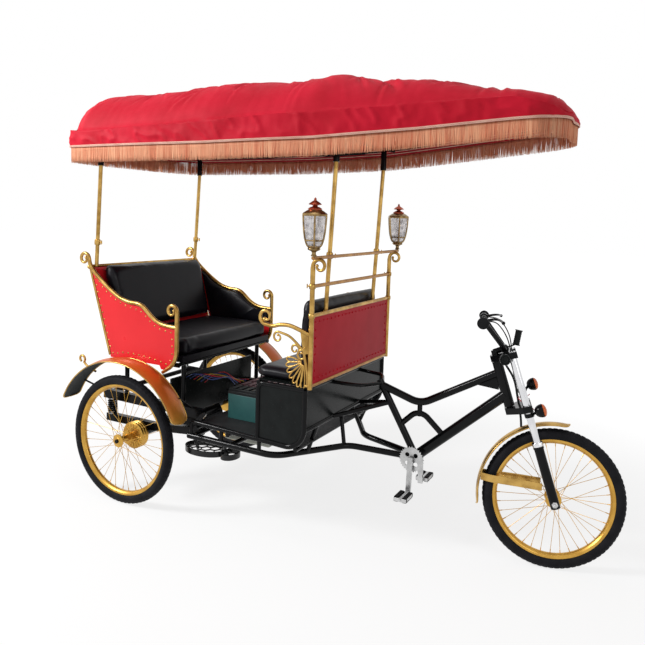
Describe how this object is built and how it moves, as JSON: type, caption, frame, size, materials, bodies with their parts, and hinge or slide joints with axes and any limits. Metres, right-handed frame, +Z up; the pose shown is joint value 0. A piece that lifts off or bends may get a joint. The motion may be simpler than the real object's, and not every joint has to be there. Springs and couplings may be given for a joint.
{
  "type": "electric tricycle",
  "caption": "Passenger pedicab with facing benches under a fringed red canopy, gilt rails, carriage lanterns, an electric rear axle and a telescopic fork.",
  "frame": {"origin": "on the ground under the middle of the overall length, on the centre plane", "axes": "+X forward, +Y to the vehicle's left, +Z up"},
  "size_m": [2.8173, 1.082, 2.1547],
  "materials": {
    "tyre": "matt",
    "wheel": "satin gilt rims and hubs",
    "frame_black": "gloss enamel",
    "gilt": "satin gilt",
    "red_panel": "gloss enamel",
    "black_panel": "gloss",
    "floor": "textured mat",
    "cushion": "soft sheen",
    "canopy": "woven",
    "fringe": "silk tassel",
    "battery": "matt",
    "chrome": "polished",
    "rubber": "matt",
    "alloy": "satin",
    "lens": "clear amber",
    "brass": "aged",
    "glass": "seeded",
    "cast": "gloss black"
  },
  "bodies": {
    "chassis": {"floor_rails": "frame_black", "low_rails": "frame_black", "low_rail_ends": "frame_black", "main_frame": "frame_black", "rear_frame": "frame_black", "rear_axle": "frame_black", "trailing_arms": "frame_black", "rear_springs": "frame_black", "bench_box": "black_panel", "footwell_floor": "floor", "batteries": "battery", "passenger_steps": "cast", "rear_bench_rails": "gilt", "rear_panel_right": "red_panel", "rear_panel_left": "red_panel", "rear_back_panel": "red_panel", "rear_seat_board": "black_panel", "rear_seat_cushion": "cushion", "rear_backrest": "cushion", "rear_side_pads": "cushion", "front_seat_cushion": "cushion", "front_backrest": "cushion", "front_bench_rails": "gilt", "front_panel": "red_panel", "front_arm_brackets": "gilt", "lantern_frames": "brass", "lantern_glass": "glass", "rear_mudguards": "gilt", "mudguard_stays": "frame_black", "canopy_cloth": "canopy", "canopy_fringe": "fringe", "canopy_frame": "frame_black", "canopy_posts": "gilt"},
    "fork": {"handlebar": "frame_black", "fork_crowns": "frame_black", "fork_stanchions": "chrome", "fork_legs": "frame_black", "grips": "rubber", "brake_levers": "frame_black", "horn": "black_panel", "lamp_bodies": "black_panel", "lamp_lenses": "lens", "front_mudguard": "gilt"},
    "front_wheel": {"front_tyre": "tyre", "front_wheel": "wheel"},
    "rear_wheel_right": {"rear_right_tyre": "tyre", "rear_right_wheel": "wheel"},
    "rear_wheel_left": {"rear_left_tyre": "tyre", "rear_left_wheel": "wheel"},
    "crank": {"crankset": "alloy"},
    "pedal_right": {"pedal_right": "rubber"},
    "pedal_left": {"pedal_left": "rubber"}
  },
  "joints": [
    {"name": "steering", "type": "hinge", "parent": "chassis", "child": "fork", "pos_m": [0.9033, 0, 0.6945], "axis": [-0.3256, 0, 0.9455], "range_deg": [-55.5, 24.5]},
    {"name": "front_wheel_spin", "type": "hinge", "parent": "fork", "child": "front_wheel", "pos_m": [1.1103, 0.01924, 0.30644], "axis": [-0.2527, 0.9636, -0.087], "continuous": true},
    {"name": "rear_wheel_right_spin", "type": "hinge", "parent": "chassis", "child": "rear_wheel_right", "pos_m": [-0.9587, -0.4805, 0.3335], "axis": [0, 1, 0], "continuous": true},
    {"name": "rear_wheel_left_spin", "type": "hinge", "parent": "chassis", "child": "rear_wheel_left", "pos_m": [-0.9587, 0.4805, 0.3335], "axis": [0, 1, 0], "continuous": true},
    {"name": "crank_spin", "type": "hinge", "parent": "chassis", "child": "crank", "pos_m": [0.4663, 0, 0.375], "axis": [0, 1, 0], "continuous": true},
    {"name": "pedal_right_spin", "type": "hinge", "parent": "crank", "child": "pedal_right", "pos_m": [0.4663, -0.142, 0.225], "axis": [0, 1, 0], "continuous": true},
    {"name": "pedal_left_spin", "type": "hinge", "parent": "crank", "child": "pedal_left", "pos_m": [0.4663, 0.142, 0.225], "axis": [0, 1, 0], "continuous": true}
  ]
}
